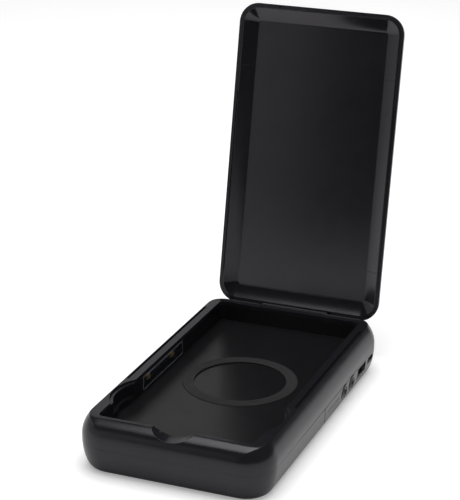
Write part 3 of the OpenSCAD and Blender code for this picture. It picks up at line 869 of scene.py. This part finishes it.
@dataclass
class Bay:
    """The tub that the device lies in, its soft ring and its lamp windows.

    Attributes:
        edge: width of the rounding of its edges.
        pad_centre: centre of the soft ring's upper face.
        pad_inner: radius of its first fine rib.
        pad_ribs: how many fine ribs it has.
        pad_step: from one rib to the next.
        pad_rib: radius of a rib's section.
        window_face: how far a window's face stands from the middle.
        window_y: the window's ends along Y.
        window_z: its lower and upper edge.
        lip: width of the window's polished lip.
        lip_rise: how far the lip stands out of the window's face.
        lip_sink: how far it reaches into it.
        lip_edge: width of the bevels along it.
        emitter_y: places of the emitters.
        emitter_z: their height.
        emitter_tip: how far the emitters' faces stand from the middle.
        dome: radius of an emitter's lens.
        dome_flat: how much flatter the lens is than a ball.
        cuts: places along Y where the tub's ring-shaped faces are divided.
    """

    edge: float = 0.15 * MM
    pad_centre: Place = (0.0, 5 * MM, 16.7 * MM)
    pad_inner: float = 24.6 * MM
    pad_ribs: int = 7
    pad_step: float = 0.8 * MM
    pad_rib: float = 0.16 * MM
    window_face: float = 40.6 * MM
    window_y: Pair = (-26.9 * MM, 23.4 * MM)
    window_z: Pair = (17.7 * MM, 24.9 * MM)
    lip: float = 0.3 * MM
    lip_rise: float = 0.14 * MM
    lip_sink: float = 0.1 * MM
    lip_edge: float = 0.08 * MM
    emitter_y: Pair = (-17.0 * MM, 13.5 * MM)
    emitter_z: float = 21.3 * MM
    emitter_tip: float = 42.6 * MM
    dome: float = 1.25 * MM
    dome_flat: float = 0.24
    cuts: tuple[float, ...] = (-32 * MM, 5 * MM, 48 * MM)

    def pad_ring_ribs(self, shop: Workshop) -> Piece:
        """Grows the fine ribs round the soft ring, which keep the device from sliding."""
        ribs = Pattern(
            "pad_ribs", Count=self.pad_ribs, Inner=self.pad_inner, Step=self.pad_step,
            Radius=self.pad_rib, Centre=self.pad_centre,
        )
        given = ribs.given
        points = ribs.add("GeometryNodePoints", {"Count": given["Count"]}).outputs[0]
        index = ribs.add("GeometryNodeInputIndex").outputs[0]
        away = ribs.calc("MULTIPLY", index, given["Step"])
        radius = ribs.calc("ADD", given["Inner"], away)
        circle = ribs.add("GeometryNodeCurvePrimitiveCircle", {"Resolution": 96, "Radius": 1.0})
        rings = ribs.copies(points, circle.outputs[0], scale=radius)
        strands = ribs.moved(ribs.tube(rings, given["Radius"]), given["Centre"])
        return ribs.grow(shop, strands, "pad_rubber", "base")

    def window_lip(self, shop: Workshop, side: Side) -> Piece:
        """Makes the polished lip where the clear plate shows its edge, light grey as a painted
        highlight.

        Args:
            shop: the workshop.
            side: the window's side.

        Returns:
            The lip.
        """
        (y0, y1), (z0, z1) = self.window_y, self.window_z
        near, far = self.window_face - self.lip_rise, self.window_face + self.lip_sink
        profile = (
            (near, self.lip_edge), (near, self.lip - self.lip_edge), (far, self.lip), (far, 0.0),
        )
        shape = bmesh.new()
        loops = []
        for x, inset in profile:
            low, high = (y0 + inset, z0 + inset), (y1 - inset, z1 - inset)
            corners = (low, (high[0], low[1]), high, (low[0], high[1]))
            loops.append([shape.verts.new((side.value * x, y, z)) for y, z in corners])
        for i, loop in enumerate(loops):
            following = loops[(i + 1) % len(loops)]
            for j in range(4):
                k = (j + 1) % 4
                shape.faces.new((loop[j], loop[k], following[k], following[j]))
        bmesh.ops.recalc_face_normals(shape, faces=shape.faces)
        name = "window_lip_" + side.name.lower()
        mesh = keep(shape, bpy.data.meshes.new(name))
        # The lip's light grey is a painted highlight on the clear plate's edge.
        return shop.place(name, mesh, "window_edge_highlight", "base", "window_glass")

    def lenses(self, shop: Workshop) -> Piece:
        """Grows the clear lenses on the lamp windows' emitters."""
        first, last = self.emitter_y
        domes = Pattern(
            "emitter_lenses", Radius=self.dome, Flat=(self.dome_flat, 1.0, 1.0), Count=2,
            Start=(self.emitter_tip, first, self.emitter_z), Step=(0.0, last - first, 0.0),
        )
        both = domes.on_both_sides(domes.repeated(domes.lens(20, 12)))
        return domes.grow(shop, both, "lens_clear", "base", "window_glass")

    def build(self, shop: Workshop) -> Pieces:
        """Makes the tub's skin, the ring's ribs and the windows' lips."""
        yield shop.refine("device_tray", self.edge, cuts=self.cuts)
        yield shop.refine("charge_pad", self.edge)
        yield self.pad_ring_ribs(shop)
        yield self.lenses(shop)
        for side in Side:
            yield self.window_lip(shop, side)


@dataclass
class Controls:
    """Buttons, sockets and status lights on the right side.

    Attributes:
        case: the case that they sit in.
        edge: width of the rounding of a cap's edge.
        proud: how far a cap stands out.
        height: height of the buttons' middle.
        power_y: place of the power button.
        lamp_y: place of the lamp button.
        ring: radius of the fine ring on a cap.
        line: radius of the strokes on a cap.
        light_y: place of the first status light.
        light_z: their height.
        light_step: from one to the next.
        lights: how many there are.
        lens: radius of a light's lens.
        lens_flat: how much flatter the lens is than a ball.
        contact_sets: name, count, size, first place and pitch of each socket's contacts.
    """

    case: Case = field(default_factory=Case)
    edge: float = 0.2 * MM
    proud: float = 0.3 * MM
    height: float = 10.1 * MM
    power_y: float = 26.5 * MM
    lamp_y: float = 38.7 * MM
    ring: float = 2.75 * MM
    line: float = 0.15 * MM
    light_y: float = 1.0 * MM
    light_z: float = 10.5 * MM
    light_step: float = 3.1 * MM
    lights: int = 6
    lens: float = 0.6 * MM
    lens_flat: float = 0.16
    contact_sets: tuple[tuple[str, int, Place, Place, float], ...] = (
        ("usb_a_contacts", 4, (6.5 * MM, 1.0 * MM, 0.16 * MM),
         (45.0 * MM, 51.15 * MM, 10.68 * MM), 2.43 * MM),
        ("usb_c_contacts", 12, (3.2 * MM, 0.24 * MM, 0.1 * MM),
         (47.2 * MM, 67.03 * MM, 11.36 * MM), 0.45 * MM),
    )

    def on_cap(self, y: float, side: float, up: float) -> Vector:
        """Returns a point on a cap's face.

        Args:
            y: the cap's middle.
            side: how far along the case the point lies from it.
            up: how far above it.

        Returns:
            The point, in metres.
        """
        z, clear = self.height + up, 0.02 * MM
        return Vector((self.case.side(z) + self.proud + clear, y + side, z))

    def ray(self, y: float, radius: float, turn: float) -> Vector:
        """Returns the point at a radius and a turn, in degrees from the top, on a cap."""
        angle = math.radians(turn)
        return self.on_cap(y, radius * math.sin(angle), radius * math.cos(angle))

    def arc(self, y: float, radius: float, start: float = 0, end: float = 360) -> list[Vector]:
        """Returns the points of an arc on a cap's face.

        Args:
            y: the cap's middle.
            radius: the arc's radius.
            start: where it starts, in degrees from the top.
            end: where it ends.

        Returns:
            The points.
        """
        steps = 40
        return [self.ray(y, radius, start + (end - start) * i / steps) for i in range(steps + 1)]

    def marks(self, shop: Workshop) -> Pieces:
        """Makes the moulded ring and the plain sign on each cap, as near-black strokes of painted
        shade.
        """
        open_ring, gap, bar = 1.25 * MM, 35, (0.3 * MM, 1.5 * MM)
        sun, beam, beams = 0.7 * MM, (1.1 * MM, 1.65 * MM), 8
        power = [
            self.arc(self.power_y, self.ring),
            self.arc(self.power_y, open_ring, gap, 360 - gap),
            [self.ray(self.power_y, radius, 0) for radius in bar],
        ]
        lamp = [self.arc(self.lamp_y, self.ring), self.arc(self.lamp_y, sun)]
        for step in range(beams):
            turn = 360 / beams * step
            lamp.append([self.ray(self.lamp_y, radius, turn) for radius in beam])
        for name, runs, body in (
            ("power_mark", power, "power_key"), ("lamp_mark", lamp, "lamp_key"),
        ):
            mesh = stroke(name, runs, self.line)
            # The strokes' near-black is painted shade in the moulded ring and sign.
            yield shop.place(name, mesh, "recess_shade", body, "tray_plastic")

    def light_lenses(self, shop: Workshop) -> Piece:
        """Grows the smoked lenses of the status lights."""
        start = (self.case.side(self.light_z), self.light_y, self.light_z)
        dots = Pattern(
            "status_lenses", Radius=self.lens, Flat=(self.lens_flat, 1.0, 1.0),
            Count=self.lights, Start=start, Step=(0.0, self.light_step, 0.0),
        )
        row = dots.repeated(dots.lens(16, 10))
        return dots.grow(shop, row, "smoked_lens", "base", "clear_plastic")

    def contacts(self, shop: Workshop) -> Pieces:
        """Grows the spring contacts of both sockets."""
        for name, count, size, start, pitch in self.contact_sets:
            strips = Pattern(name, Count=count, Size=size, Start=start, Step=(0.0, pitch, 0.0))
            strip = strips.add("GeometryNodeMeshCube", {"Size": strips.given["Size"]})
            row = strips.repeated(strip.outputs[0])
            yield strips.grow(shop, row, "emitter_gold", "base")

    def build(self, shop: Workshop) -> Pieces:
        """Makes the button caps, their marks, the lights' lenses and the contacts."""
        yield shop.refine("power_button", self.edge)
        yield shop.refine("lamp_button", self.edge)
        yield from self.marks(shop)
        yield self.light_lenses(shop)
        yield from self.contacts(shop)


@dataclass
class PowerBank:
    """Coil and circuit board below the tub.

    Attributes:
        coil_centre: centre of the coil.
        turns: how many turns it has.
        coil_inner: radius of its first turn.
        coil_outer: radius of its last turn.
        wire: radius of its wire.
        board_top: height of the board's upper face.
        chip_from: middle of the first small part on the board.
        chip_pitch: from one to the next, both ways.
        chip_counts: how many there are across and along.
        chip_least: size of the smallest possible one.
        chip_most: size of the largest possible one.
    """

    coil_centre: Place = (0.0, 5 * MM, 14.3 * MM)
    turns: int = 12
    coil_inner: float = 11.5 * MM
    coil_outer: float = 23.4 * MM
    wire: float = 0.47 * MM
    board_top: float = 7.55 * MM
    chip_from: Pair = (23.5 * MM, 3.0 * MM)
    chip_pitch: float = 4.2 * MM
    chip_counts: tuple[int, int] = (3, 9)
    chip_least: Place = (1.0 * MM, 0.7 * MM, 0.4 * MM)
    chip_most: Place = (3.0 * MM, 2.6 * MM, 1.1 * MM)

    def coil(self, shop: Workshop) -> Piece:
        """Grows the coil as one flat spiral of enamelled wire."""
        wind = Pattern(
            "coil_winding", Turns=float(self.turns), Inner=self.coil_inner,
            Outer=self.coil_outer, Wire=self.wire, Centre=self.coil_centre,
        )
        given = wind.given
        spiral = wind.add("GeometryNodeCurveSpiral", {
            "Resolution": 40, "Rotations": given["Turns"], "Start Radius": given["Inner"],
            "End Radius": given["Outer"], "Height": 0.0,
        })
        strand = wind.moved(wind.tube(spiral.outputs[0], given["Wire"], 8), given["Centre"])
        piece = wind.grow(shop, strand, "coil_copper", "base")
        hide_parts("charging_coil")
        return piece

    def chips(self, shop: Workshop) -> Piece:
        """Grows the small parts on the circuit board."""
        across, along = self.chip_counts
        parts = Pattern(
            "board_parts", Across=across, Along=along, Seed=7,
            Start=(*self.chip_from, self.board_top), Least=self.chip_least, Most=self.chip_most,
            Pitch=(self.chip_pitch, 0.0, 0.0), Row=(0.0, self.chip_pitch, 0.0),
        )
        given = parts.given
        line = parts.row(given["Across"], given["Start"], given["Pitch"])
        rows = parts.copies(parts.row(given["Along"], HERE, given["Row"]), line)
        cube = parts.add("GeometryNodeMeshCube", {"Size": (1, 1, 1)})
        raised = parts.moved(cube.outputs[0], (0, 0, 0.5))
        range_of = {0: given["Least"], 1: given["Most"], "Seed": given["Seed"]}
        size = parts.add("FunctionNodeRandomValue", range_of, data_type="FLOAT_VECTOR")
        chips = parts.copies(rows, raised, scale=size.outputs[0])
        return parts.grow(shop, chips, "switch_plastic", "base")

    def build(self, shop: Workshop) -> Pieces:
        """Makes the coil's winding and the board's parts."""
        yield self.coil(shop)
        yield self.chips(shop)


@dataclass
class Studio:
    """Floor, lamps, world and the camera of the photograph.

    Attributes:
        azimuth: where the camera stands about Z, in degrees.
        elevation: how far it looks down, in degrees.
        roll: its turn about its own axis, in degrees.
        place: where it is, in metres.
        lens: focal length, in millimetres.
        ambient: strength of the even light.
        overhead: where the large lamp hangs, in metres.
        overhead_size: its width and height.
        overhead_power: its power, in watts.
        side: where the lamp at the right stands, in metres.
        side_size: its width and height.
        side_power: its power, in watts.
        aim: where both lamps point.
        floor_size: length of the floor's sides, in metres.
        floor_tones: the darkest and the lightest grey of its faint clouds.
        floor_lift: how much whiter the camera sees it.
        tent_radius: radius of the dark tent, in metres.
        tent_foot: height of its lower edge above the horizon, in degrees.
        tent_facets: its facets from edge to top, and round it.
        cloth: how light its cloth is.
        card: how light the card at its left is.
        card_from: where the card begins, in degrees from the front towards the left.
        card_to: where the card ends.
        card_top: the card's upper edge, in degrees above the horizon.
    """

    azimuth: float = 21.82
    elevation: float = 20.64
    roll: float = 0.30
    place: Place = (0.307135, -0.777162, 0.405782)
    lens: float = 127.77
    ambient: float = 0.45
    overhead: Place = (0.0, 0.1, 1.25)
    overhead_size: Pair = (1.0, 1.0)
    overhead_power: float = 11.5
    side: Place = (1.4, 0.1, 0.6)
    side_size: Pair = (0.8, 1.2)
    side_power: float = 1.0
    aim: Place = (0, 0.03, 0.06)
    floor_size: float = 12.0
    floor_tones: Pair = (0.93, 0.95)
    floor_lift: float = 0.26
    tent_radius: float = 1.65
    tent_foot: float = 3.0
    tent_facets: tuple[int, int] = (24, 72)
    cloth: float = 0.015
    card: float = 0.65
    card_from: float = 21.2
    card_to: float = 158.0
    card_top: float = 35.0

    def camera(self) -> None:
        """Sets the scene's camera."""
        data = bpy.data.cameras.new("camera")
        data.lens = self.lens
        data.sensor_width = 36.0
        data.clip_start = 0.01
        camera = add_object("camera", data)
        az, el, roll = (math.radians(v) for v in (self.azimuth, self.elevation, self.roll))
        level = Vector((-math.sin(az), math.cos(az), 0)) * math.cos(el)
        forward = level - Vector((0, 0, math.sin(el)))
        right = Vector((math.cos(az), math.sin(az), 0))
        up = right.cross(forward)
        side = right * math.cos(roll) + up * math.sin(roll)
        top = up * math.cos(roll) - right * math.sin(roll)
        turn = Matrix((side, top, -forward)).transposed().to_4x4()
        camera.matrix_world = Matrix.Translation(self.place) @ turn
        bpy.context.scene.camera = camera

    def floor(self) -> None:
        """Makes the floor, white to the camera and with the object's shadow."""
        bpy.ops.mesh.primitive_plane_add(size=self.floor_size)
        plane = bpy.context.object
        plane.name = "floor"
        pen = NodePen("floor_white")
        dim, bright = self.floor_tones
        seen = {0: pen.add("ShaderNodeLightPath").outputs["Is Camera Ray"], 1: self.floor_lift}
        plane.data.materials.append(pen.shader({
            "Base Color": pen.ramp(pen.noise(6), [(LOW, (dim,) * 3), (HIGH, (bright,) * 3)]),
            "Roughness": 0.9,
            "Emission Color": WHITE,
            "Emission Strength": pen.add("ShaderNodeMath", seen, operation="MULTIPLY").outputs[0],
        }))

    def tent(self) -> None:
        """Hangs dark cloth above the horizon, with a grey card at the left, seen in gloss only."""
        shape = bmesh.new()
        rings, columns = self.tent_facets
        grid = []
        for i in range(rings + 1):
            up = math.radians(self.tent_foot + (90 - self.tent_foot) * i / rings)
            flat, height = self.tent_radius * math.cos(up), self.tent_radius * math.sin(up)
            ring = []
            for j in range(columns):
                turn = 2 * math.pi * j / columns
                place = (-flat * math.sin(turn), -flat * math.cos(turn), height)
                ring.append(shape.verts.new(place))
            grid.append(ring)
        for i in range(rings):
            up = self.tent_foot + (90 - self.tent_foot) * (i + 0.5) / rings
            for j in range(columns):
                k = (j + 1) % columns
                face = shape.faces.new((grid[i][j], grid[i + 1][j], grid[i + 1][k], grid[i][k]))
                turn = 360 * (j + 0.5) / columns
                card = self.card_from < turn < self.card_to and up < self.card_top
                face.material_index = 1 if card else 0
        mesh = keep(shape, bpy.data.meshes.new("tent"))
        tent = add_object("tent", mesh)
        for name, colour in (("tent_cloth", self.cloth), ("tent_card", self.card)):
            pen = NodePen(name)
            cloud = pen.ramp(pen.noise(4), [(LOW, (colour,) * 3), (HIGH, (colour * 1.1,) * 3)])
            mesh.materials.append(pen.shader({"Base Color": cloud, "Roughness": 1.0}))
        for kind in ("camera", "diffuse", "transmission", "shadow"):
            setattr(tent, "visible_" + kind, False)

    def lamp(self, name: str, place: Place, size: Pair, power: float) -> Piece:
        """Adds a soft lamp that points at the box.

        Args:
            name: the lamp's name.
            place: where it is, in metres.
            size: its width and height, in metres.
            power: its power, in watts.

        Returns:
            The lamp.
        """
        data = bpy.data.lights.new(name, "AREA")
        data.shape = "RECTANGLE"
        data.size, data.size_y = size
        data.energy = power
        lamp = add_object(name, data)
        lamp.location = place
        aim = Vector(self.aim) - Vector(place)
        lamp.rotation_euler = aim.to_track_quat("-Z", "Y").to_euler()
        return lamp

    def world(self) -> None:
        """Lights the scene evenly and shows white behind the object and in its gloss."""
        world = bpy.data.worlds.new("studio")
        bpy.context.scene.world = world
        world.use_nodes = True
        world.cycles.sampling_method = "NONE"
        world.node_tree.nodes.clear()
        tree = Tree(world.node_tree)
        ray = tree.add("ShaderNodeLightPath")
        seen = ray.outputs["Is Camera Ray"]
        for kind in ("Is Glossy Ray", "Is Transmission Ray"):
            both = {0: seen, 1: ray.outputs[kind]}
            seen = tree.add("ShaderNodeMath", both, operation="MAXIMUM").outputs[0]
        ambient, shown = (
            tree.add("ShaderNodeBackground", {"Color": WHITE, "Strength": strength}).outputs[0]
            for strength in (self.ambient, 1.0)
        )
        mix = tree.add("ShaderNodeMixShader", {0: seen, 1: ambient, 2: shown})
        tree.add("ShaderNodeOutputWorld", {"Surface": mix.outputs[0]})

    def build(self) -> None:
        """Makes the whole studio."""
        self.camera()
        self.world()
        self.floor()
        self.tent()
        self.lamp("overhead", self.overhead, self.overhead_size, self.overhead_power)
        side = self.lamp("side", self.side, self.side_size, self.side_power)
        side.visible_glossy = False
        bpy.context.scene.view_settings.view_transform = "Standard"


def main() -> None:
    """Builds the studio and dresses every sub-assembly."""
    logging.basicConfig(level=logging.INFO, format="%(name)s: %(message)s")
    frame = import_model()
    Studio().build()
    shop = Workshop(frame)
    for node in frame["nodes"]:
        shop.dress(node)
    for assembly in (Case(), Lid(), Bay(), Controls(), PowerBank()):
        for piece in assembly.build(shop):
            faces = len(piece.data.polygons)
            LOG.info("%s: %s, %d faces", type(assembly).__name__, piece.name, faces)


if __name__ == "__main__":
    main()
